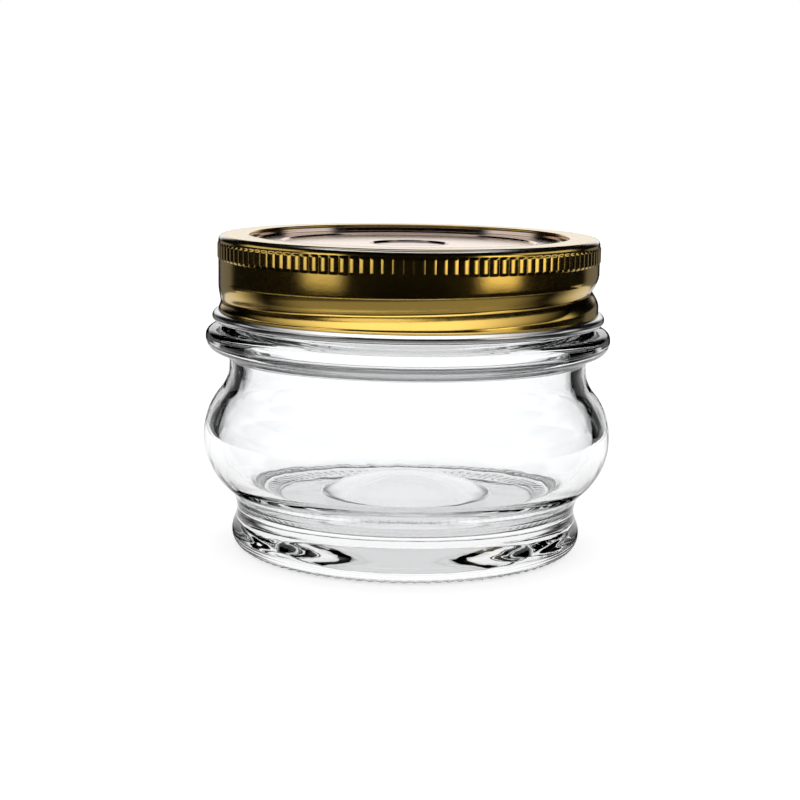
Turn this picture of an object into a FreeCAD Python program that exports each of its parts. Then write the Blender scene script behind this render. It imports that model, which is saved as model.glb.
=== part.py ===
"""A squat preserving jar with a two-piece lid: a glass jar, a flat disc with its ring of sealing compound,
and the screw band that holds the disc down. Millimetres, +Z up, with the origin at the centre of the ring
that the jar stands on.
"""
import FreeCAD, Part

import math
import os

Vector = FreeCAD.Vector

# ---- Heights of the closed jar ---------------------------------------------------------------------------
TOTAL_HEIGHT = 60.0
SHEET = 0.26            # tinplate of the screw band
DISC_SHEET = 0.24       # tinplate of the lid disc
SEAT_GAP = 0.05         # play between band and disc
COMPOUND_DEPTH = 0.34   # sealing compound once squeezed on to the lip
LIP_GAP = 0.03          # play between compound and glass

# ---- Glass: foot, waist, belly and neck ------------------------------------------------------------------
PUNT_TOP = 1.6          # hollow under the base, at its centre
PUNT_EDGE_R, PUNT_EDGE_Z = 26.0, 1.15
RING_INNER_R = 27.4     # flat ring that the jar stands on
HEEL_R = 2.87
FOOT_R, FOOT_Z = 33.75, 3.1
WAIST_R, WAIST_Z = 32.8, 7.3
BELLY_CENTRE_R, BELLY_CENTRE_Z, BELLY_ARC = 26.2, 21.7, 13.04
NECK_R, NECK_Z = 34.4, 34.8
WALL = 3.05             # glass thickness from waist to neck
FLOOR_Z, FLOOR_CORNER = 8.2, 4.0
DOME_R, DOME_RISE = 17.0, 5.5           # lens of glass that swells up in the middle of the floor

# ---- Glass: carrying bead and threaded finish ------------------------------------------------------------
BEAD_R = 38.73
BEAD_UNDER_Z = 38.07
BEAD_LOWER_ARC, BEAD_UPPER_ARC = 2.43, 1.6
BEAD_SIDE = 0.4         # straight stretch between the two arcs
BEAD_SLOPE = 8.0        # degrees, top of the bead
UNDER_BEAD_FILLET = 1.7
FINISH_R = 33.5         # plain cylinder between the threads
FINISH_FILLET = 1.0
LIP_ROUND = 1.3
BORE_R = 30.0
BORE_END_Z, NECK_INNER_Z = 50.0, 38.0

# ---- Screw thread, shared by glass and band --------------------------------------------------------------
PITCH = 6.35
FRONT = -90.0           # degrees round +Z; the front of the jar faces -Y
GROOVE_FRONT_Z = 48.6   # height of the band's rolled groove at the front
THREAD_ABOVE_GROOVE = 1.4
THREAD_R = 35.0         # crest of the glass thread
THREAD_ROOT_DEPTH = 0.5  # how far the thread's solid reaches into the neck
THREAD_HALF_WIDTH = 1.75
THREAD_FROM, THREAD_TO = -270.0, 200.0
THREAD_FADE = 32.0
SECTION_STEP = 8.0      # degrees between thread sections

# ---- Screw band ------------------------------------------------------------------------------------------
BAND_R = 36.3
OPENING_R = 30.45       # hole in the top of the band
HEM_WIDTH = 2.0         # edge of the hole, folded back under
SHOULDER_ROUND = 1.1
KNURLS = 120
KNURL_BOTTOM_Z, KNURL_TOP_Z = 55.4, 58.6
KNURL_CREST_R, KNURL_VALLEY_R = 36.52, 36.34
KNURL_POINTS = 6        # points drawn on each rib
KNURL_STRETCHES = 24    # curves that make up the ring of ribs
GROOVE_DEPTH = 1.3
GROOVE_ABOVE, GROOVE_BELOW = 3.4, 3.0   # how far the groove's two flanks reach from its crease
GROOVE_FOOT_Z = 45.8    # lowest height that the lower flank reaches
GROOVE_CREASE = 0.12    # rounding of the crease, as a share of each flank
GROOVE_FROM, GROOVE_TO = -190.0, 120.0
GROOVE_FADE = 38.0
SKIN = 0.09             # how far the groove's outline starts off the face that it bends
CURL_R, CURL_Z, CURL_TUBE = 36.5, 44.65, 0.98

# ---- Lid disc --------------------------------------------------------------------------------------------
DISC_R = 34.15
DISC_SKIRT = 0.75       # turned-down edge
CHANNEL_INNER_R = 30.35
PANEL_R, PANEL_DROP = 30.27, 0.7
RING_R, RING_DROP, RING_RUN = 24.4, 0.22, 0.3
BUTTON_R, BUTTON_DROP, BUTTON_RUN = 7.4, 0.3, 0.3
COMPOUND_INNER_R, COMPOUND_OUTER_R = 30.75, 33.65

DISC_TOP = TOTAL_HEIGHT - 2 * SHEET - SEAT_GAP
LIP_Z = DISC_TOP - DISC_SHEET - COMPOUND_DEPTH - LIP_GAP


# ---- Drawing outlines in the plane of radius and height --------------------------------------------------
def at(r, z):
    """A point at radius r and height z."""
    return Vector(r, 0, z)


def on_circle(centre, radius, degrees):
    """The point of a circle at an angle from the outward radius towards +Z."""
    turn = math.radians(degrees)
    return at(centre[0] + radius * math.cos(turn), centre[1] + radius * math.sin(turn))


def arc(centre, radius, start, end):
    """An arc from one angle to another, in degrees."""
    points = [on_circle(centre, radius, a) for a in (start, (start + end) / 2, end)]
    return Part.Arc(*points).toShape()


def line(start, end):
    return Part.LineSegment(start, end).toShape()


def direction(from_centre, to_centre):
    """The angle of the line from one centre to another, in degrees."""
    return math.degrees(math.atan2(to_centre[1] - from_centre[1], to_centre[0] - from_centre[0]))


def shallow_arc(start, end):
    """An arc that crosses the axis of the jar squarely at one end."""
    (r1, z1), (r2, z2) = start, end
    rim_r, rim_z, top_z = (r1, z1, z2) if r2 == 0 else (r2, z2, z1)
    radius = (rim_r ** 2 + (rim_z - top_z) ** 2) / (2 * (top_z - rim_z))
    centre_z = top_z - radius
    rise = math.sqrt(radius ** 2 - (rim_r / 2) ** 2)
    return Part.Arc(at(r1, z1), at(rim_r / 2, centre_z + rise), at(r2, z2)).toShape()


def around(centre, start, end):
    """The shorter arc about a centre from one point to another."""
    radius = math.dist(centre, start)
    aim_r = (start[0] + end[0]) / 2 - centre[0]
    aim_z = (start[1] + end[1]) / 2 - centre[1]
    stretch = radius / math.hypot(aim_r, aim_z)
    crown = at(centre[0] + aim_r * stretch, centre[1] + aim_z * stretch)
    return Part.Arc(at(*start), crown, at(*end)).toShape()


def s_curve(start, end):
    """Two equal arcs, upright at both ends, that join two upright lines."""
    (r1, z1), (r2, z2) = start, end
    step = r2 - r1
    radius = (step ** 2 + (z2 - z1) ** 2) / (4 * step)
    middle = ((r1 + r2) / 2, (z1 + z2) / 2)
    return [around((r1 + radius, z1), start, middle), around((r2 - radius, z2), middle, end)]


def fillet_radius(waist_r, waist_z):
    """The radius of a hollow arc of least radius waist_r that runs smoothly into the belly's arc."""
    inset = waist_r - BELLY_CENTRE_R
    rise = waist_z - BELLY_CENTRE_Z
    return (inset ** 2 + rise ** 2 - BELLY_ARC ** 2) / (2 * (BELLY_ARC - inset))


def revolve(edges):
    """A closed solid of revolution from an outline's edges."""
    face = Part.Face(Part.Wire(edges))
    solid = face.revolve(Vector(0, 0, 0), Vector(0, 0, 1), 360)
    return solid if solid.Volume > 0 else solid.reversed()


# ---- Thread sections -------------------------------------------------------------------------------------
def groove_height(degrees):
    return GROOVE_FRONT_Z + PITCH * (degrees - FRONT) / 360


def fade(degrees, first, last, run):
    """0 at both ends of a thread and 1 along it, with smooth run-outs."""
    t = max(0.0, min(1.0, (degrees - first) / run, (last - degrees) / run))
    return t * t * (3 - 2 * t)


def section(degrees, outline, closing):
    """A closed wire across the thread at an angle: a smooth curve and a straight line that closes it."""
    curve = Part.BSplineCurve()
    curve.interpolate([at(r, z) for r, z in outline])
    corners = [outline[-1]] + closing + [outline[0]]
    wire = Part.Wire([curve.toShape()] + [line(at(*a), at(*b)) for a, b in zip(corners, corners[1:])])
    wire.rotate(Vector(0, 0, 0), Vector(0, 0, 1), degrees)
    return wire


def sweep(first, last, make_section):
    """A solid through sections set round the axis from one angle to another."""
    count = int(math.ceil((last - first) / SECTION_STEP))
    angles = [first + (last - first) * i / count for i in range(count + 1)]
    solid = Part.makeLoft([make_section(a) for a in angles], True, False)
    return solid if solid.Volume > 0 else solid.reversed()


def glass_thread_section(degrees):
    """Rounded ridge that stands out of the neck and sinks into it at each end."""
    height = groove_height(degrees) + THREAD_ABOVE_GROOVE
    root = FINISH_R - THREAD_ROOT_DEPTH
    crest = (THREAD_R - root) * (0.1 + 0.9 * fade(degrees, THREAD_FROM, THREAD_TO, THREAD_FADE))
    spread = (-1, -0.75, -0.4, 0, 0.4, 0.75, 1)
    outline = [(root + crest * (1 - abs(u) ** 2.6), height + THREAD_HALF_WIDTH * u) for u in spread]
    return section(degrees, outline, [])


def groove_outline(degrees, surface_r, skin, depth):
    """The rolled groove's cross-section, from a skin outside a surface down to a depth below it."""
    height = groove_height(degrees)
    reach = skin + depth * fade(degrees, GROOVE_FROM, GROOVE_TO, GROOVE_FADE)
    full = math.hypot(1, GROOVE_CREASE) - GROOVE_CREASE
    points = []
    for u in (-1, -0.75, -0.5, -0.3, -0.12, 0, 0.05, 0.15, 0.3, 0.5, 0.75, 1):
        width = GROOVE_ABOVE if u > 0 else min(GROOVE_BELOW, height - GROOVE_FOOT_Z)
        along = (math.hypot(u, GROOVE_CREASE) - GROOVE_CREASE) / full
        points.append((surface_r + skin - reach * (1 - math.sin(along * math.pi / 2)), height + width * u))
    return points


def inner_bead_section(degrees):
    """The ridge that the groove raises inside the band."""
    outline = groove_outline(degrees, BAND_R - SHEET, SKIN, GROOVE_DEPTH)
    low, high = outline[0][1], outline[-1][1]
    return section(degrees, outline, [(BAND_R - SHEET + 2 * SKIN, high), (BAND_R - SHEET + 2 * SKIN, low)])


def outer_groove_section(degrees):
    """What the groove takes out of the band's outer face."""
    outline = groove_outline(degrees, BAND_R, SKIN, GROOVE_DEPTH)
    low, high = outline[0][1], outline[-1][1]
    return section(degrees, outline, [(BAND_R + 8 * SKIN, high), (BAND_R + 8 * SKIN, low)])


# ---- Glass jar -------------------------------------------------------------------------------------------
def foot_outline():
    """From the axis under the base, round the standing ring and heel, to the waist."""
    heel = (FOOT_R - HEEL_R, HEEL_R)
    return [
        shallow_arc((0, PUNT_TOP), (PUNT_EDGE_R, PUNT_EDGE_Z)),
        line(at(PUNT_EDGE_R, PUNT_EDGE_Z), at(RING_INNER_R, 0)),
        line(at(RING_INNER_R, 0), at(heel[0], 0)),
        arc(heel, HEEL_R, -90, 0),
        line(at(FOOT_R, HEEL_R), at(FOOT_R, FOOT_Z)),
    ] + s_curve((FOOT_R, FOOT_Z), (WAIST_R, WAIST_Z))


def body_outline():
    """Waist, belly and neck as three arcs that run smoothly into each other."""
    belly = (BELLY_CENTRE_R, BELLY_CENTRE_Z)
    low, high = fillet_radius(WAIST_R, WAIST_Z), fillet_radius(NECK_R, NECK_Z)
    waist, neck = (WAIST_R + low, WAIST_Z), (NECK_R + high, NECK_Z)
    down, up = direction(belly, waist), direction(belly, neck)
    return [
        arc(waist, low, 180, down + 180),
        arc(belly, BELLY_ARC, down, up),
        arc(neck, high, up + 180, 180),
    ]


def bead_outline():
    """Neck, carrying bead and the plain cylinder of the finish, up to the lip."""
    lower = (BEAD_R - BEAD_LOWER_ARC, BEAD_UNDER_Z + BEAD_LOWER_ARC)
    upper = (BEAD_R - BEAD_UPPER_ARC, lower[1] + BEAD_SIDE)
    hollow = (NECK_R + UNDER_BEAD_FILLET, BEAD_UNDER_Z - UNDER_BEAD_FILLET)
    slope = math.radians(BEAD_SLOPE)
    top = on_circle(upper, BEAD_UPPER_ARC, 90 - BEAD_SLOPE)
    corner_r = FINISH_R + FINISH_FILLET
    corner = (corner_r, top.z + (top.x - corner_r) * math.tan(slope) + FINISH_FILLET / math.cos(slope))
    foot = on_circle(corner, FINISH_FILLET, 270 - BEAD_SLOPE)
    lip = (FINISH_R - LIP_ROUND, LIP_Z - LIP_ROUND)
    return [
        line(at(NECK_R, NECK_Z), at(NECK_R, hollow[1])),
        arc(hollow, UNDER_BEAD_FILLET, 180, 90),
        line(at(hollow[0], BEAD_UNDER_Z), at(lower[0], BEAD_UNDER_Z)),
        arc(lower, BEAD_LOWER_ARC, -90, 0),
        line(at(BEAD_R, lower[1]), at(BEAD_R, upper[1])),
        arc(upper, BEAD_UPPER_ARC, 0, 90 - BEAD_SLOPE),
        line(top, foot),
        arc(corner, FINISH_FILLET, 270 - BEAD_SLOPE, 180),
        line(at(FINISH_R, corner[1]), at(FINISH_R, lip[1])),
        arc(lip, LIP_ROUND, 0, 90),
    ]


def inside_outline():
    """From the lip down the bore, neck and belly to the floor and the axis."""
    belly = (BELLY_CENTRE_R, BELLY_CENTRE_Z)
    low, high = fillet_radius(WAIST_R, WAIST_Z), fillet_radius(NECK_R, NECK_Z)
    waist, neck = (WAIST_R + low, WAIST_Z), (NECK_R + high, NECK_Z)
    down, up = direction(belly, waist), direction(belly, neck)
    inner_neck_r = NECK_R - WALL
    lip = (BORE_R + LIP_ROUND, LIP_Z - LIP_ROUND)
    corner_z = FLOOR_Z + FLOOR_CORNER
    reach = low + WALL + FLOOR_CORNER
    corner = (waist[0] - math.sqrt(reach ** 2 - (corner_z - WAIST_Z) ** 2), corner_z)
    bend = direction(waist, corner)
    return [
        line(at(FINISH_R - LIP_ROUND, LIP_Z), at(lip[0], LIP_Z)),
        arc(lip, LIP_ROUND, 90, 180),
        line(at(BORE_R, lip[1]), at(BORE_R, BORE_END_Z)),
    ] + s_curve((BORE_R, BORE_END_Z), (inner_neck_r, NECK_INNER_Z)) + [
        line(at(inner_neck_r, NECK_INNER_Z), at(inner_neck_r, NECK_Z)),
        arc(neck, high + WALL, 180, up + 180),
        arc(belly, BELLY_ARC - WALL, up, down),
        arc(waist, low + WALL, down + 180, bend),
        arc(corner, FLOOR_CORNER, bend - 180, -90),
        line(at(corner[0], FLOOR_Z), at(DOME_R, FLOOR_Z)),
        shallow_arc((DOME_R, FLOOR_Z), (0, FLOOR_Z + DOME_RISE)),
        line(at(0, FLOOR_Z + DOME_RISE), at(0, PUNT_TOP)),
    ]


def glass_jar():
    body = revolve(foot_outline() + body_outline() + bead_outline() + inside_outline())
    return body.fuse(sweep(THREAD_FROM, THREAD_TO, glass_thread_section))


# ---- Screw band ------------------------------------------------------------------------------------------
def band_outline():
    """Folded hem, flat top, rounded shoulder, plain wall and the curled lower edge, as one bent sheet."""
    top, under = TOTAL_HEIGHT, TOTAL_HEIGHT - SHEET
    fold_end = OPENING_R + HEM_WIDTH
    nose = (OPENING_R + SHEET, under)
    shoulder = (BAND_R - SHOULDER_ROUND, top - SHOULDER_ROUND)
    curl = (CURL_R, CURL_Z)
    inner_tube = CURL_TUBE - SHEET
    inner_wall = BAND_R - SHEET
    join = math.degrees(math.acos((CURL_R - BAND_R) / CURL_TUBE))
    join_inner = math.degrees(math.acos((CURL_R - inner_wall) / CURL_TUBE))
    return [
        line(at(fold_end, under), at(fold_end, under - SHEET)),
        line(at(fold_end, under - SHEET), at(nose[0], under - SHEET)),
        arc(nose, SHEET, 270, 90),
        line(at(nose[0], top), at(shoulder[0], top)),
        arc(shoulder, SHOULDER_ROUND, 90, 0),
        line(at(BAND_R, shoulder[1]), on_circle(curl, CURL_TUBE, 180 - join)),
        arc(curl, CURL_TUBE, 180 - join, -180 + join_inner),
        line(on_circle(curl, CURL_TUBE, -180 + join_inner), at(inner_wall, shoulder[1])),
        arc(shoulder, SHOULDER_ROUND - SHEET, 0, 90),
        line(at(shoulder[0], under), at(fold_end, under)),
    ]


def knurl_ring():
    """A ring of upright ribs round the top of the wall, sunk half a sheet into it."""
    middle, swing = (KNURL_CREST_R + KNURL_VALLEY_R) / 2, (KNURL_CREST_R - KNURL_VALLEY_R) / 2
    steps = KNURL_POINTS * KNURLS // KNURL_STRETCHES
    stretches = []
    for first in range(0, KNURL_STRETCHES * steps, steps):
        points = []
        for i in range(first, first + steps + 1):
            turn = 2 * math.pi * i / (KNURL_STRETCHES * steps)
            r = middle + swing * math.cos(KNURLS * turn)
            points.append(Vector(r * math.cos(turn), r * math.sin(turn), KNURL_BOTTOM_Z))
        wave = Part.BSplineCurve()
        wave.interpolate(points)
        stretches.append(wave.toShape())
    height = KNURL_TOP_Z - KNURL_BOTTOM_Z
    ribs = Part.Face(Part.Wire(stretches)).extrude(Vector(0, 0, height))
    return ribs.cut(Part.makeCylinder(BAND_R - SHEET / 2, height, Vector(0, 0, KNURL_BOTTOM_Z)))


def screw_band():
    band = revolve(band_outline())
    band = band.fuse(sweep(GROOVE_FROM, GROOVE_TO, inner_bead_section))
    band = band.cut(sweep(GROOVE_FROM, GROOVE_TO, outer_groove_section))
    return band.fuse(knurl_ring())


# ---- Lid disc and its sealing compound -------------------------------------------------------------------
def disc_surface(offset):
    """Corners of the disc's upper face, moved down by an offset, from the skirt to the axis."""
    channel = DISC_TOP - offset
    panel = channel - PANEL_DROP
    ring = panel - RING_DROP
    button = ring - BUTTON_DROP
    return [
        (CHANNEL_INNER_R, channel), (PANEL_R, panel), (RING_R, panel), (RING_R - RING_RUN, ring),
        (BUTTON_R, ring), (BUTTON_R - BUTTON_RUN, button), (0, button),
    ]


def lid_disc():
    upper, lower = disc_surface(0), disc_surface(DISC_SHEET)
    shoulder = (DISC_R - 2 * DISC_SHEET, DISC_TOP - 2 * DISC_SHEET)
    skirt_end = DISC_TOP - DISC_SKIRT
    inner_r = DISC_R - DISC_SHEET
    edges = [line(at(*a), at(*b)) for a, b in zip(upper[::-1], upper[-2::-1])]
    edges += [
        line(at(*upper[0]), at(shoulder[0], DISC_TOP)),
        arc(shoulder, 2 * DISC_SHEET, 90, 0),
        line(at(DISC_R, shoulder[1]), at(DISC_R, skirt_end)),
        line(at(DISC_R, skirt_end), at(inner_r, skirt_end)),
        line(at(inner_r, skirt_end), at(inner_r, shoulder[1])),
        arc(shoulder, DISC_SHEET, 0, 90),
        line(at(shoulder[0], DISC_TOP - DISC_SHEET), at(*lower[0])),
    ]
    edges += [line(at(*a), at(*b)) for a, b in zip(lower, lower[1:])]
    edges.append(line(at(*lower[-1]), at(*upper[-1])))
    return revolve(edges)


def sealing_compound():
    """The soft ring flowed into the disc's channel, slightly rounded where it meets the lip."""
    top = DISC_TOP - DISC_SHEET
    edge = top - COMPOUND_DEPTH / 2
    lowest = at((COMPOUND_INNER_R + COMPOUND_OUTER_R) / 2, top - COMPOUND_DEPTH)
    return revolve([
        line(at(COMPOUND_INNER_R, top), at(COMPOUND_INNER_R, edge)),
        Part.Arc(at(COMPOUND_INNER_R, edge), lowest, at(COMPOUND_OUTER_R, edge)).toShape(),
        line(at(COMPOUND_OUTER_R, edge), at(COMPOUND_OUTER_R, top)),
        line(at(COMPOUND_OUTER_R, top), at(COMPOUND_INNER_R, top)),
    ])


def main():
    os.makedirs("parts", exist_ok=True)
    nodes = {
        "glass_jar": glass_jar,
        "screw_band": screw_band,
        "lid_disc": lid_disc,
        "sealing_compound": sealing_compound,
    }
    for name, make in nodes.items():
        shape = make()
        shape.exportStep(f"parts/{name}.step")
        box = shape.optimalBoundingBox()
        print(f"{name}: valid {shape.isValid()}, {len(shape.Solids)} solid, {len(shape.Faces)} faces, "
              f"{shape.Volume / 1000:.3f} cm3, z {box.ZMin:.3f} to {box.ZMax:.3f}, radius {box.XMax:.3f}")


main()
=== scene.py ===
"""Looks of the preserving jar: clear pressed glass, gold screw band and lid disc, on a white floor."""

import math

import bpy
import numpy as np
from mathutils import Matrix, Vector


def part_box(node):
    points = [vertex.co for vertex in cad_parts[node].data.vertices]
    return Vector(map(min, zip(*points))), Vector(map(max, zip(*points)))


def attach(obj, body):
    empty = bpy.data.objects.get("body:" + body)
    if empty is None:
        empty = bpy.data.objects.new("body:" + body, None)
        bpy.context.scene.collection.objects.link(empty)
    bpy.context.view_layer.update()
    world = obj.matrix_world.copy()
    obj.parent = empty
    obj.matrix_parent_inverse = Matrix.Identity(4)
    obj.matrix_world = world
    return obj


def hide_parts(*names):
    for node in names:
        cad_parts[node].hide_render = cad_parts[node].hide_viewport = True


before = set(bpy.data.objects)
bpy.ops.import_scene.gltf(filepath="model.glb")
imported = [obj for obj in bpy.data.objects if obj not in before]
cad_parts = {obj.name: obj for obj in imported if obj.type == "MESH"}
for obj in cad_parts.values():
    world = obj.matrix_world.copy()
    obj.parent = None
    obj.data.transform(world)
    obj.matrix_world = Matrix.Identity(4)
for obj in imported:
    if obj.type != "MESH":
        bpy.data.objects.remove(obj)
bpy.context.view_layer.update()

MM = 0.001
TAU = 2 * math.pi
TINY = 1e-6
SAME_POINT = 0.002
LAPS = (0, 360, -360)

# ---- Sizes of the jar, in millimetres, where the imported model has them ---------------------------
jar_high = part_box("glass_jar")[1] / MM
band_low, band_high = (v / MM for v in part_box("screw_band"))
disc_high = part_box("lid_disc")[1] / MM
compound_low, compound_high = (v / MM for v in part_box("sealing_compound"))

TOTAL_HEIGHT = band_high.z
LIP_Z = jar_high.z
DISC_R, DISC_TOP = disc_high.x, disc_high.z
COMPOUND_LOW, COMPOUND_TOP, COMPOUND_OUTER_R = compound_low.z, compound_high.z, compound_high.x
BELLY_R = jar_high.x
CURL_OUTER_R, CURL_BOTTOM = band_high.x, band_low.z

# ---- Glass ---------------------------------------------------------------------------------------
PUNT_TOP, PUNT_EDGE_R, PUNT_EDGE_Z = 1.6, 26.0, 1.15
RING_INNER_R = 27.4
HEEL_R = 2.87
FOOT_R, FOOT_Z = 33.75, 3.1
RING_GROOVES, RING_GROOVE_DEPTH = 96, 0.18
RING_FADE_IN, RING_FADE_OUT, RING_FOOT_GAP = 0.6, 1.2, 0.6
GLASS_STEPS = 8 * RING_GROOVES
WAIST_R, WAIST_Z = 32.8, 7.3
BELLY_CENTRE_Z, BELLY_ARC = 21.7, 13.04
BELLY_CENTRE_R = BELLY_R - BELLY_ARC
NECK_R, NECK_Z = 34.4, 34.8
WALL = 3.05
FLOOR_Z, FLOOR_CORNER = 8.2, 4.0
DOME_R, DOME_RISE = 17.0, 5.5
BEAD_R, BEAD_UNDER_Z = 38.73, 38.07
BEAD_LOWER_ARC, BEAD_UPPER_ARC, BEAD_SIDE, BEAD_SLOPE = 2.43, 1.6, 0.4, 8.0
UNDER_BEAD_FILLET = 1.7
FINISH_R, FINISH_FILLET = 33.5, 1.0
LIP_ROUND = 1.3
BORE_R, BORE_END_Z, NECK_INNER_Z = 30.0, 50.0, 38.0

# ---- Screw thread --------------------------------------------------------------------------------
# Directions round the axis are in degrees from +X towards +Y, so the front is at -90.
PITCH = 6.35
FRONT = -90.0
GROOVE_FRONT_Z = 48.6
THREAD_ABOVE_GROOVE = 1.4
THREAD_CREST, THREAD_ROOT = 35.0, 33.0
THREAD_HALF_WIDTH, THREAD_FULLNESS = 1.75, 2.6
THREAD_FROM, THREAD_TO, THREAD_FADE = -270.0, 200.0, 32.0
# The zone of the finish that the thread may move: above the bead, below the lip and only the outer skin.
ZONE_ABOVE_BEAD, ZONE_BELOW_LIP, ZONE_SKIN = 5.0, 0.3, 0.6

# ---- Screw band ----------------------------------------------------------------------------------
SHEET = 0.26
BAND_R = 36.3
OPENING_R, HEM_WIDTH = 30.45, 2.0
SHOULDER_ROUND = 1.1
KNURLS, KNURL_HEIGHT = 120, 0.18
KNURL_BOTTOM_Z, KNURL_TOP_Z = 55.4, 58.6
KNURL_FADE_BOTTOM, KNURL_FADE_TOP = 0.35, 0.3
GROOVE_DEPTH, GROOVE_ABOVE, GROOVE_BELOW, GROOVE_BELOW_LEAST = 1.3, 3.4, 3.0, 0.1
GROOVE_FOOT_Z, GROOVE_CREASE = 45.8, 0.12
GROOVE_FROM, GROOVE_TO, GROOVE_FADE = -190.0, 120.0, 38.0
CURL_TUBE = 0.98
CURL_R, CURL_Z = CURL_OUTER_R - CURL_TUBE, CURL_BOTTOM + CURL_TUBE
CURL_GAP = 0.3
SLACK = 0.01

# ---- Lid disc ------------------------------------------------------------------------------------
DISC_SHEET = 0.24
DISC_SKIRT = 0.75
CHANNEL_INNER_R = 30.35
PANEL_R, PANEL_DROP = 30.27, 0.7
RING_R, RING_DROP, RING_RUN = 24.4, 0.22, 0.3
BUTTON_R, BUTTON_DROP, BUTTON_RUN = 7.4, 0.3, 0.3
DISC_STEPS = 360
COMPOUND_INNER_R = 30.75
COMPOUND_STEPS, COMPOUND_POINTS = 360, 13


# ---- Outlines: lists of (radius, height) points --------------------------------------------------
def arc(centre, radius, start, end, step=4.0):
    """Points along an arc, from one angle to another in degrees."""
    count = max(2, math.ceil(abs(end - start) / step))
    return [(centre[0] + radius * math.cos(t), centre[1] + radius * math.sin(t))
            for t in np.radians(np.linspace(start, end, count + 1))]


def run(start, end, step):
    """Points along a straight line, close enough together to be shaped later."""
    count = max(1, math.ceil(math.dist(start, end) / step))
    return [tuple(p) for p in np.linspace(start, end, count + 1)]


def smooth(t):
    """0 below 0, 1 above 1 and an easy rise between."""
    t = np.clip(t, 0, 1)
    return t * t * (3 - 2 * t)


def s_bend(start, end, steps=14):
    """A smooth step from one upright line to another."""
    t = np.linspace(0, 1, steps + 1)
    return [(start[0] + (end[0] - start[0]) * smooth(u), start[1] + (end[1] - start[1]) * u) for u in t]


def direction(from_centre, to_centre):
    """The angle, in degrees, at which one point sees another."""
    return math.degrees(math.atan2(to_centre[1] - from_centre[1], to_centre[0] - from_centre[0]))


def hollow_radius(waist_r, waist_z):
    """Radius of a hollow arc that is narrowest at (waist_r, waist_z) and runs smoothly into the belly."""
    inset, rise = waist_r - BELLY_CENTRE_R, waist_z - BELLY_CENTRE_Z
    return (inset ** 2 + rise ** 2 - BELLY_ARC ** 2) / (2 * (BELLY_ARC - inset))


def join(*stretches):
    """One outline from several, without the points that they share."""
    points = []
    for stretch in stretches:
        for p in stretch:
            if not points or math.dist(points[-1], p) > SAME_POINT:
                points.append(p)
    return points


def dome(rim, top_z, steps=24):
    """A shallow arc from a rim to the axis."""
    return [(rim[0] * (1 - t), rim[1] + (top_z - rim[1]) * (1 - (1 - t) ** 2))
            for t in np.linspace(0, 1, steps + 1)]


# ---- Meshes --------------------------------------------------------------------------------------
def lathe(name, outline, segments, shape=None, closed=False, second_look=None):
    """A solid of revolution. An open outline starts and ends on the axis.

    segments is a number of even steps, or the directions of all the steps in degrees.
    shape(r, z, degrees) may move the points.
    second_look(r, z) says which stretches of the outline take the piece's second material.
    """
    area = sum(a[0] * b[1] - b[0] * a[1] for a, b in zip(outline, outline[1:] + outline[:1]))
    if area < 0:
        outline = outline[::-1]
    rings = [p for p in outline if closed or p[0] > TINY]
    r, z = (np.array(c)[:, None] for c in zip(*rings))
    if np.ndim(segments):
        degrees, segments = segments, len(segments)
    else:
        degrees = np.linspace(-180, 180, segments, endpoint=False)
    degrees = degrees[None, :]
    r, z, degrees = np.broadcast_arrays(r, z, degrees)
    if shape:
        r, z = shape(r, z, degrees)
    turn = np.radians(degrees)
    verts = np.stack([r * np.cos(turn), r * np.sin(turn), z + 0 * turn], -1).reshape(-1, 3)
    rows, around = len(rings), np.arange(segments)
    following = (around + 1) % segments
    faces = []
    for i in range(rows if closed else rows - 1):
        here, there = i * segments, (i + 1) % rows * segments
        corners = [here + around, here + following, there + following, there + around]
        faces += np.stack(corners, -1).tolist()
    if not closed:
        first, last = len(verts), len(verts) + 1
        ends = [[0, 0, outline[0][1]], [0, 0, outline[-1][1]]]
        verts = np.vstack([verts, ends])
        final = (rows - 1) * segments
        faces += [[first, int(j), int(i)] for i, j in zip(around, following)]
        faces += [[last, int(final + i), int(final + j)] for i, j in zip(around, following)]
    mesh = bpy.data.meshes.new(name)
    mesh.from_pydata((verts * MM).tolist(), [], faces)
    if second_look:
        looks = []
        for i in range(rows if closed else rows - 1):
            middle = (np.array(rings[i]) + np.array(rings[(i + 1) % rows])) / 2
            looks += [int(second_look(*middle))] * segments
        looks += [looks[0]] * segments + [looks[-1]] * segments if not closed else []
        mesh.polygons.foreach_set("material_index", looks)
    mesh.validate()
    mesh.shade_smooth()
    piece = bpy.data.objects.new(name, mesh)
    bpy.context.scene.collection.objects.link(piece)
    return piece


def fade(degrees, first, last, run_out):
    """0 at both ends of a thread and 1 along it."""
    return smooth(np.minimum((degrees - first) / run_out, (last - degrees) / run_out))


def thread_height(degrees):
    """The height of the band's rolled groove. The glass thread runs just above it."""
    return GROOVE_FRONT_Z + PITCH * (degrees - FRONT) / 360


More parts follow.
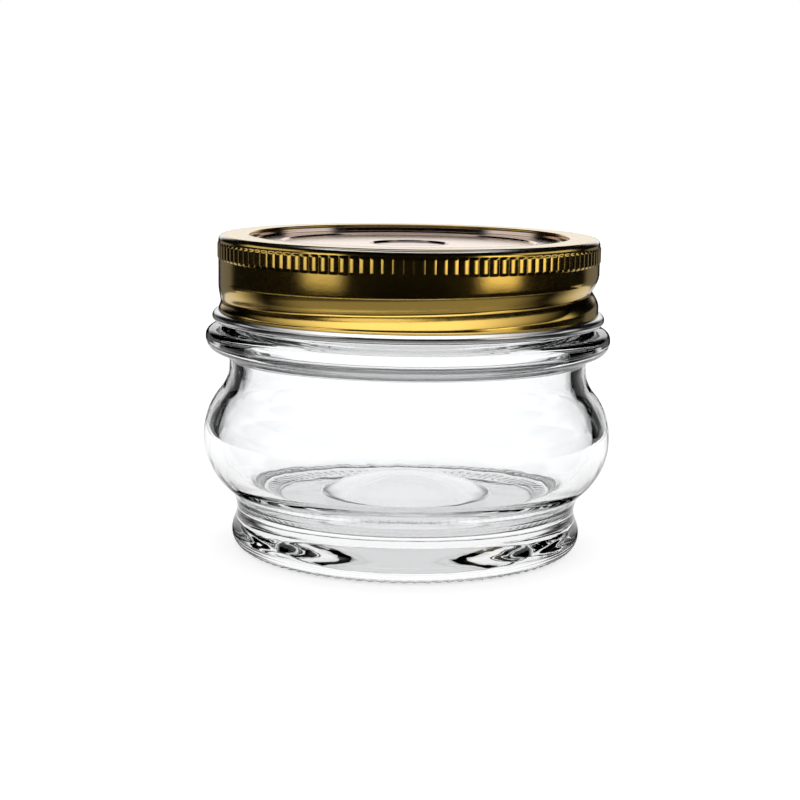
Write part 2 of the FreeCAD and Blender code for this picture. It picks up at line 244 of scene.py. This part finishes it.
# ---- Glass jar -----------------------------------------------------------------------------------
def jar_outline():
    belly = (BELLY_CENTRE_R, BELLY_CENTRE_Z)
    low, high = hollow_radius(WAIST_R, WAIST_Z), hollow_radius(NECK_R, NECK_Z)
    waist, neck = (WAIST_R + low, WAIST_Z), (NECK_R + high, NECK_Z)
    down, up = direction(belly, waist), direction(belly, neck)
    heel = (FOOT_R - HEEL_R, HEEL_R)
    outside = join(
        dome((PUNT_EDGE_R, PUNT_EDGE_Z), PUNT_TOP)[::-1],
        run((PUNT_EDGE_R, PUNT_EDGE_Z), (RING_INNER_R, 0), step=0.3),
        run((RING_INNER_R, 0), (heel[0], 0), step=0.3),
        arc(heel, HEEL_R, -90, 0),
        s_bend((FOOT_R, FOOT_Z), (WAIST_R, WAIST_Z)),
        arc(waist, low, 180, down + 180),
        arc(belly, BELLY_ARC, down, up, step=2.5),
        arc(neck, high, up + 180, 180),
    )
    lower = (BEAD_R - BEAD_LOWER_ARC, BEAD_UNDER_Z + BEAD_LOWER_ARC)
    upper = (BEAD_R - BEAD_UPPER_ARC, lower[1] + BEAD_SIDE)
    hollow = (NECK_R + UNDER_BEAD_FILLET, BEAD_UNDER_Z - UNDER_BEAD_FILLET)
    slope = math.radians(BEAD_SLOPE)
    top = arc(upper, BEAD_UPPER_ARC, 0, 90 - BEAD_SLOPE)[-1]
    corner_r = FINISH_R + FINISH_FILLET
    corner = (corner_r, top[1] + (top[0] - corner_r) * math.tan(slope) + FINISH_FILLET / math.cos(slope))
    bead = join(
        run((NECK_R, NECK_Z), (NECK_R, hollow[1]), step=0.4),
        arc(hollow, UNDER_BEAD_FILLET, 180, 90, step=6),
        arc(lower, BEAD_LOWER_ARC, -90, 0),
        arc(upper, BEAD_UPPER_ARC, 0, 90 - BEAD_SLOPE, step=5),
        arc(corner, FINISH_FILLET, 270 - BEAD_SLOPE, 180, step=8),
        run((FINISH_R, corner[1]), (FINISH_R, LIP_Z - LIP_ROUND), step=0.18),
        arc((FINISH_R - LIP_ROUND, LIP_Z - LIP_ROUND), LIP_ROUND, 0, 90, step=6),
    )
    corner_z = FLOOR_Z + FLOOR_CORNER
    reach = low + WALL + FLOOR_CORNER
    floor_corner = (waist[0] - math.sqrt(reach ** 2 - (corner_z - WAIST_Z) ** 2), corner_z)
    bend = direction(waist, floor_corner)
    inside = join(
        arc((BORE_R + LIP_ROUND, LIP_Z - LIP_ROUND), LIP_ROUND, 90, 180, step=6),
        run((BORE_R, LIP_Z - LIP_ROUND), (BORE_R, BORE_END_Z), step=0.8),
        s_bend((BORE_R, BORE_END_Z), (NECK_R - WALL, NECK_INNER_Z)),
        arc(neck, high + WALL, 180, up + 180),
        arc(belly, BELLY_ARC - WALL, up, down, step=3),
        arc(waist, low + WALL, down + 180, bend),
        arc(floor_corner, FLOOR_CORNER, bend - 180, -90, step=5),
        run((floor_corner[0], FLOOR_Z), (DOME_R, FLOOR_Z), step=0.5),
        dome((DOME_R, FLOOR_Z), FLOOR_Z + DOME_RISE),
    )
    return join(outside, bead, inside)


def jar_shape(r, z, degrees):
    """Raises the screw thread on the finish and cuts fine radial grooves across the standing ring."""
    rise = smooth((r - RING_INNER_R + RING_FADE_IN) / RING_FADE_IN)
    fall = smooth((FOOT_R - RING_FOOT_GAP - r) / RING_FADE_OUT)
    ring = rise * fall * (z < HEEL_R / 2)
    z = z + RING_GROOVE_DEPTH * ring * np.sin(np.radians(degrees * RING_GROOVES / 2)) ** 2
    between = (z > BEAD_UNDER_Z + ZONE_ABOVE_BEAD) & (z < LIP_Z - ZONE_BELOW_LIP)
    zone = between & (r > FINISH_R - ZONE_SKIN)
    raised = r.copy()
    for lap in LAPS:
        along = degrees + lap
        height = thread_height(along) + THREAD_ABOVE_GROOVE
        crest = (THREAD_CREST - THREAD_ROOT) * fade(along, THREAD_FROM, THREAD_TO, THREAD_FADE)
        across = np.clip(np.abs(z - height) / THREAD_HALF_WIDTH, 0, 1)
        ridge = THREAD_ROOT + crest * (1 - across ** THREAD_FULLNESS)
        on_thread = zone & (along >= THREAD_FROM) & (along <= THREAD_TO)
        raised = np.where(on_thread, np.maximum(raised, ridge), raised)
    return raised, z


# ---- Screw band ----------------------------------------------------------------------------------
def band_outline():
    top, under = TOTAL_HEIGHT, TOTAL_HEIGHT - SHEET
    fold_end = OPENING_R + HEM_WIDTH
    nose = (OPENING_R + SHEET, under)
    shoulder = (BAND_R - SHOULDER_ROUND, top - SHOULDER_ROUND)
    curl = (CURL_R, CURL_Z)
    inner_wall = BAND_R - SHEET
    join_out = math.degrees(math.acos((CURL_R - BAND_R) / CURL_TUBE))
    join_in = math.degrees(math.acos((CURL_R - inner_wall) / CURL_TUBE))
    curl_points = arc(curl, CURL_TUBE, 180 - join_out, -180 + join_in, step=10)
    return join(
        arc(nose, SHEET, 270, 90, step=15),
        run((nose[0], top), (shoulder[0], top), step=1.0),
        arc(shoulder, SHOULDER_ROUND, 90, 0, step=6),
        run((BAND_R, shoulder[1]), curl_points[0], step=0.16),
        curl_points,
        run(curl_points[-1], (inner_wall, shoulder[1]), step=0.25),
        arc(shoulder, SHOULDER_ROUND - SHEET, 0, 90, step=10),
        run((shoulder[0], under), (fold_end, under), step=0.8),
        run((fold_end, under), (fold_end, under - SHEET), step=0.2),
        run((fold_end, under - SHEET), (nose[0], under - SHEET), step=0.8),
    )[:-1]


def band_shape(r, z, degrees):
    """Rolls the thread groove into the wall and raises the knurling on its outer face."""
    upright = (z < TOTAL_HEIGHT - SHOULDER_ROUND) & (z > CURL_Z + CURL_GAP)
    wall = upright & (r < BAND_R + SLACK) & (r > BAND_R - SHEET - SLACK)
    full = math.hypot(1, GROOVE_CREASE) - GROOVE_CREASE
    moved = r.copy()
    for lap in LAPS:
        along = degrees + lap
        crease = thread_height(along)
        below = np.maximum(np.minimum(GROOVE_BELOW, crease - GROOVE_FOOT_Z), GROOVE_BELOW_LEAST)
        across = np.clip(np.abs(z - crease) / np.where(z > crease, GROOVE_ABOVE, below), 0, 1)
        flank = (np.hypot(across, GROOVE_CREASE) - GROOVE_CREASE) / full
        depth = GROOVE_DEPTH * fade(along, GROOVE_FROM, GROOVE_TO, GROOVE_FADE)
        on_groove = wall & (along >= GROOVE_FROM) & (along <= GROOVE_TO)
        moved = moved - np.where(on_groove, depth * (1 - np.sin(flank * math.pi / 2)), 0)
    strip = smooth((z - KNURL_BOTTOM_Z) / KNURL_FADE_BOTTOM) * smooth((KNURL_TOP_Z - z) / KNURL_FADE_TOP)
    off_rib = np.abs((degrees * KNURLS / 360 + 0.5) % 1 - 0.5) * 2
    rib = KNURL_HEIGHT * (1 - off_rib ** 2)
    knurled = wall & (r > BAND_R - SLACK)
    return moved + np.where(knurled, strip * rib, 0), z


def knurl_turns():
    """Directions round the band that follow each rib's crown and the crease beside it."""
    across_rib = np.array([-1, -0.97, -0.72, -0.48, -0.24, 0, 0.24, 0.48, 0.72, 0.97])
    ribs = np.add.outer(np.arange(KNURLS), 0.5 + across_rib / 2)
    return ribs.ravel() * 360 / KNURLS - 180 - 180 / KNURLS


def is_bare_tin(r, z):
    """The band's inner face, which the curl turns outwards."""
    inside_wall = OPENING_R + HEM_WIDTH < r < BAND_R - SHEET / 2 and z < TOTAL_HEIGHT - SHEET / 2
    return inside_wall or math.dist((r, z), (CURL_R, CURL_Z)) < CURL_TUBE + 2 * SLACK


# ---- Lid disc and compound -----------------------------------------------------------------------
def disc_face(offset):
    """The disc's upper face moved down by an offset, from its raised channel's inner edge to the axis."""
    channel = DISC_TOP - offset
    panel = channel - PANEL_DROP
    ring = panel - RING_DROP
    button = ring - BUTTON_DROP
    return join(
        step_down((CHANNEL_INNER_R, channel), (PANEL_R, panel)),
        run((PANEL_R, panel), (RING_R, panel), step=0.4),
        step_down((RING_R, panel), (RING_R - RING_RUN, ring)),
        run((RING_R - RING_RUN, ring), (BUTTON_R, ring), step=0.4),
        step_down((BUTTON_R, ring), (BUTTON_R - BUTTON_RUN, button)),
        run((BUTTON_R - BUTTON_RUN, button), (0, button), step=0.4),
    )


def step_down(start, end, steps=8):
    """A smooth step from one level line to another."""
    t = np.linspace(0, 1, steps + 1)
    return [(start[0] + (end[0] - start[0]) * u, start[1] + (end[1] - start[1]) * smooth(u)) for u in t]


def disc_outline():
    shoulder = (DISC_R - 2 * DISC_SHEET, DISC_TOP - 2 * DISC_SHEET)
    skirt_end = DISC_TOP - DISC_SKIRT
    inner_r = DISC_R - DISC_SHEET
    return join(
        disc_face(DISC_SHEET)[::-1],
        arc(shoulder, DISC_SHEET, 90, 0, step=15),
        [(inner_r, skirt_end), (DISC_R, skirt_end)],
        arc(shoulder, 2 * DISC_SHEET, 0, 90, step=10),
        disc_face(0),
    )


def is_underside(r, z):
    """The disc's coated underside."""
    return z < DISC_TOP - 0.75 * DISC_SHEET and r <= DISC_R - DISC_SHEET / 2 and is_lower_face(r, z)


def is_lower_face(r, z):
    """Whether a point is nearer to the disc's lower face than to its upper one."""
    face = disc_face(0)
    here = [(p, q) for p, q in zip(face, face[1:]) if q[0] <= r <= p[0]]
    if not here:
        return True
    (r1, z1), (r2, z2) = here[0]
    upper = z1 + (z2 - z1) * (r - r1) / min(r2 - r1, -TINY)
    return z < upper - DISC_SHEET / 2


def compound_outline():
    """Flat where it sticks to the disc and rounded below."""
    edge = COMPOUND_TOP - (COMPOUND_TOP - COMPOUND_LOW) / 2
    width = COMPOUND_OUTER_R - COMPOUND_INNER_R
    bulge = [(COMPOUND_INNER_R + width * t, edge - (edge - COMPOUND_LOW) * 4 * t * (1 - t))
             for t in np.linspace(0, 1, COMPOUND_POINTS)]
    return join([(COMPOUND_INNER_R, COMPOUND_TOP)], bulge, [(COMPOUND_OUTER_R, COMPOUND_TOP)])


# ---- Materials -----------------------------------------------------------------------------------
WHITE, BLACK = (1, 1, 1, 1), (0, 0, 0, 1)
GLASS_TINT, GLASS_IOR = (0.975, 0.98, 0.985, 1), 1.52
WAVES, WAVE_BUMP = {"Scale": 70.0, "Detail": 3.0}, {"Strength": 0.1, "Distance": 0.0012}
FLECKS, FLECK_BUMP = {"Scale": 900.0, "Detail": 4.0}, {"Strength": 0.05, "Distance": 0.0001}
CLOUDS, CLOUD_SHADE = {"Scale": 60.0, "Detail": 3.0}, 0.9
GOLD, BARE_TIN = (0.66, 0.45, 0.11), (0.72, 0.72, 0.73)
DISC_GOLD, DISC_GOLD_EDGE = (0.72, 0.59, 0.51), (1, 0.93, 0.89)
ENAMEL, PLASTISOL = (0.75, 0.75, 0.74), (0.5, 0.48, 0.44)


def material(name, **sockets):
    """A new material and its shader, with constants set on the shader's sockets."""
    made = bpy.data.materials.new(name)
    made.use_nodes = True
    shader = made.node_tree.nodes["Principled BSDF"]
    for socket, value in sockets.items():
        shader.inputs[socket.replace("_", " ")].default_value = value
    return made, made.node_tree, shader


def node(tree, kind, inputs=(), **settings):
    """A new shader node. An input is a constant, or the socket that feeds it."""
    made = tree.nodes.new(kind)
    for name, value in settings.items():
        setattr(made, name, value)
    for name, value in dict(inputs).items():
        if isinstance(value, bpy.types.NodeSocket):
            tree.links.new(value, made.inputs[name])
        else:
            made.inputs[name].default_value = value
    return made


def glass():
    """Clear glass with slow waves over its faces."""
    made, tree, shader = material("clear_glass", Base_Color=GLASS_TINT, Transmission_Weight=1.0,
                                  IOR=GLASS_IOR, Roughness=0.0)
    place = node(tree, "ShaderNodeTexCoord").outputs["Object"]
    waves = node(tree, "ShaderNodeTexNoise", {"Vector": place, **WAVES}).outputs["Fac"]
    bump = node(tree, "ShaderNodeBump", {"Height": waves, **WAVE_BUMP})
    tree.links.new(bump.outputs["Normal"], shader.inputs["Normal"])
    return made


def metal(name, colour, rough, fleck=0.04, edge=(1, 1, 1)):
    """A surface that reflects as metal does, with fine flecks and faint clouds.

    fleck is how far the roughness strays either way. edge tints the reflection at glancing angles.
    """
    made, tree, shader = material(name, Metallic=1.0, Specular_Tint=(*edge, 1))
    place = node(tree, "ShaderNodeTexCoord").outputs["Object"]
    fine = node(tree, "ShaderNodeTexNoise", {"Vector": place, **FLECKS}).outputs["Fac"]
    broad = node(tree, "ShaderNodeTexNoise", {"Vector": place, **CLOUDS}).outputs["Fac"]
    shades = {"A": (*colour, 1), "B": (*[c * CLOUD_SHADE for c in colour], 1)}
    tint = node(tree, "ShaderNodeMix", {"Factor": broad, **shades}, data_type="RGBA")
    limits = {"To Min": rough - fleck, "To Max": rough + fleck}
    roughness = node(tree, "ShaderNodeMapRange", {"Value": fine, **limits})
    bump = node(tree, "ShaderNodeBump", {"Height": fine, **FLECK_BUMP})
    tree.links.new(tint.outputs["Result"], shader.inputs["Base Color"])
    tree.links.new(roughness.outputs["Result"], shader.inputs["Roughness"])
    tree.links.new(bump.outputs["Normal"], shader.inputs["Normal"])
    return made


# ---- Build ---------------------------------------------------------------------------------------
def dress(piece, looks, cad_node, body):
    """Gives a piece its materials, hides the CAD node that it stands for and ties the piece to its body.
    """
    for look in looks:
        piece.data.materials.append(look)
    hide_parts(cad_node)
    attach(piece, body)


glass_body = lathe("glass_body", jar_outline(), GLASS_STEPS, jar_shape)
gold_band = lathe("gold_band", band_outline(), knurl_turns(), band_shape, True, is_bare_tin)
gold_disc = lathe("gold_disc", disc_outline(), DISC_STEPS, second_look=is_underside)
compound_ring = lathe("compound_ring", compound_outline(), COMPOUND_STEPS, closed=True)

band_looks = [metal("gold_lacquer", GOLD, rough=0.16, fleck=0.03), metal("bare_tin", BARE_TIN, rough=0.2)]
disc_looks = [metal("gold_lacquer_disc", DISC_GOLD, rough=0.12, edge=DISC_GOLD_EDGE),
              metal("disc_enamel", ENAMEL, rough=0.35)]
dress(glass_body, [glass()], "glass_jar", "jar")
dress(gold_band, band_looks, "screw_band", "band")
dress(gold_disc, disc_looks, "lid_disc", "lid")
dress(compound_ring, [metal("plastisol", PLASTISOL, rough=0.5)], "sealing_compound", "lid")

# ---- Camera, in metres and degrees ---------------------------------------------------------------
LENS, SENSOR = 77.85, 36.0
CLIP_NEAR, CLIP_FAR = 0.01, 50
CAMERA_BACK, CAMERA_HEIGHT = 0.331, 0.0832
PITCH_DOWN, TURN_LEFT, ROLL = 9.466, 0.232, 0.831
camera_data = bpy.data.cameras.new("camera")
camera_data.lens, camera_data.sensor_width = LENS, SENSOR
camera_data.clip_start, camera_data.clip_end = CLIP_NEAR, CLIP_FAR
camera = bpy.data.objects.new("camera", camera_data)
bpy.context.scene.collection.objects.link(camera)
camera.rotation_mode = "QUATERNION"
camera.location = (0, -CAMERA_BACK, CAMERA_HEIGHT)
aim = Matrix.Rotation(math.radians(TURN_LEFT), 3, "Z")
aim = aim @ Matrix.Rotation(math.radians(90 - PITCH_DOWN), 3, "X")
aim = aim @ Matrix.Rotation(math.radians(ROLL), 3, "Z")
camera.rotation_quaternion = aim.to_quaternion()
bpy.context.scene.camera = camera

# ---- Stage, in metres and degrees ----------------------------------------------------------------
FLOOR_REACH, FLOOR_CORNERS = 6.0, 64
FLOOR_GREY, FLOOR_GLOW = 0.6, 0.6
CARD_COLUMNS, CARD_ROWS = 33, (0, 0.6, 1)
bpy.context.scene.view_settings.view_transform = "Standard"


def stage_piece(name, verts, faces):
    mesh = bpy.data.meshes.new(name)
    mesh.from_pydata(verts, [], faces)
    made = bpy.data.objects.new(name, mesh)
    bpy.context.scene.collection.objects.link(made)
    return made


rim = np.linspace(0, TAU, FLOOR_CORNERS, endpoint=False)
floor_edge = [(math.cos(t) * FLOOR_REACH, math.sin(t) * FLOOR_REACH, 0) for t in rim]
floor = stage_piece("floor", floor_edge, [list(range(FLOOR_CORNERS))])
floor_paint = material("white_floor", Base_Color=(FLOOR_GREY, FLOOR_GREY, FLOOR_GREY, 1), Roughness=1.0,
                       Specular_IOR_Level=0, Emission_Color=WHITE, Emission_Strength=FLOOR_GLOW)[0]
floor.data.materials.append(floor_paint)
floor.visible_glossy = False

world = bpy.data.worlds.new("studio")
bpy.context.scene.world = world
world.use_nodes = True
world.node_tree.nodes["Background"].inputs["Color"].default_value = WHITE
world.node_tree.nodes["Background"].inputs["Strength"].default_value = 1.0
world.cycles_visibility.glossy = False


def card(name, turns, near, far, strength, colour=(1, 1, 1), soft=0.2, flag=False):
    """A glowing studio card, curved round the jar between two azimuths.

    Azimuth 0 is the front and 90 the right. near and far are the (distance, height) of its two edges.
    soft is the share of its length over which each end fades out. A card shows in reflections only.
    A flag shows only through the glass, where it is dark and fades to the studio's white at its ends
    and its far edge.
    """
    along = np.linspace(0, 1, CARD_COLUMNS)
    angles = np.radians(turns[0] + (turns[1] - turns[0]) * along)
    rows = [(near[0] + (far[0] - near[0]) * t, near[1] + (far[1] - near[1]) * t) for t in CARD_ROWS]
    verts = [(r * math.sin(t), -r * math.cos(t), h) for r, h in rows for t in angles]
    corners = [i for row in range(2) for i in range(row * CARD_COLUMNS, (row + 1) * CARD_COLUMNS - 1)]
    made = stage_piece(name, verts, [[i, i + 1, i + 1 + CARD_COLUMNS, i + CARD_COLUMNS] for i in corners])
    ends = smooth(np.minimum(along, 1 - along) / soft)
    glow = np.concatenate([ends, ends, ends * (not flag)])
    made.data.attributes.new("glow", "FLOAT", "POINT").data.foreach_set("value", glow)
    made.visible_camera = made.visible_diffuse = made.visible_shadow = False
    made.visible_glossy = not flag
    made.visible_transmission = flag
    paint, tree, shader = material(name + "_paint", Base_Color=BLACK, Roughness=1.0, Specular_IOR_Level=0,
                                   Emission_Color=(*colour, 1))
    share = node(tree, "ShaderNodeAttribute", attribute_name="glow").outputs["Fac"]
    limits = {"To Min": 1.0 if flag else 0.0, "To Max": strength}
    level = node(tree, "ShaderNodeMapRange", {"Value": share, **limits}).outputs["Result"]
    tree.links.new(level, shader.inputs["Emission Strength"])
    made.data.materials.append(paint)


# Dark flags beside the jar.
FLAG_FOOT, FLAG_TOP = (0.2, 0), (0.2, 0.18)
card("left_flag", (-150, -74), FLAG_FOOT, FLAG_TOP, strength=0, soft=0.12, flag=True)
card("right_flag", (74, 150), FLAG_FOOT, FLAG_TOP, strength=0, soft=0.12, flag=True)

# Each side has a dim box with a bright one on top of it, and a faint box behind.
BOX_FOOT, BOX_SPLIT, BOX_TOP = (0.2, 0), (0.2, 0.0405), (0.2, 0.06)
card("left_low_box", (-66, -30), BOX_FOOT, BOX_SPLIT, strength=0.4, colour=(1, 0.97, 0.9), soft=0.35)
card("left_high_box", (-62, -32), BOX_SPLIT, BOX_TOP, strength=1.8, colour=(1, 0.97, 0.9), soft=0.3)
card("right_low_box", (36, 66), BOX_FOOT, BOX_SPLIT, strength=1.1, colour=(1, 0.9, 0.7), soft=0.35)
card("right_high_box", (34, 66), BOX_SPLIT, BOX_TOP, strength=2.2, colour=(1, 0.92, 0.75), soft=0.3)
card("back_left_box", (-150, -118), BOX_FOOT, BOX_TOP, strength=0.2)
card("back_right_box", (118, 150), BOX_FOOT, BOX_TOP, strength=0.2)

# One light hangs above the front of the jar and one above and behind it.
FRONT_LOW, FRONT_HIGH = (0.1, 0.17), (0.08, 0.195)
OVERHEAD_BACK, OVERHEAD_MIDDLE = (0.22, 0.4), (0.001, 0.4)
card("front_light", (-90, 84), FRONT_LOW, FRONT_HIGH, strength=1.6, colour=(1, 0.96, 0.88), soft=0.15)
card("overhead_light", (90, 270), OVERHEAD_BACK, OVERHEAD_MIDDLE, strength=0.8)

# A glowing ledge in front of the band lights what is below it. Its black lid hides it from what is above.
LEDGE_NEAR, LEDGE_FAR = (0.0375, 0.0508), (0.06, 0.0508)
LID_NEAR, LID_FAR = (0.0375, 0.0509), (0.0601, 0.0509)
card("low_front_light", (-66, 60), LEDGE_NEAR, LEDGE_FAR, strength=1.9, colour=(1, 0.98, 0.95), soft=0.4)
card("low_front_light_lid", (-70, 64), LID_NEAR, LID_FAR, strength=0)

# The studio's far walls and its floor, as the jar reflects them.
WALL_FOOT, WALL_TOP = (0.4, 0.072), (0.4, 0.2)
FLOOR_GAP = 0.0005
card("back_wall", (145, 215), WALL_FOOT, WALL_TOP, strength=1.17)
card("left_wall", (244, 302), WALL_FOOT, WALL_TOP, strength=0.9)
card("right_wall", (58, 116), WALL_FOOT, WALL_TOP, strength=0.9)
card("front_floor", (-90, 90), (0.05, FLOOR_GAP), (0.1, FLOOR_GAP), strength=0.36)
card("far_front_floor", (-90, 90), (0.1, FLOOR_GAP), (0.17, FLOOR_GAP), strength=0.1)
card("back_floor", (90, 270), (0.04, FLOOR_GAP), (0.3, FLOOR_GAP), strength=0.9)
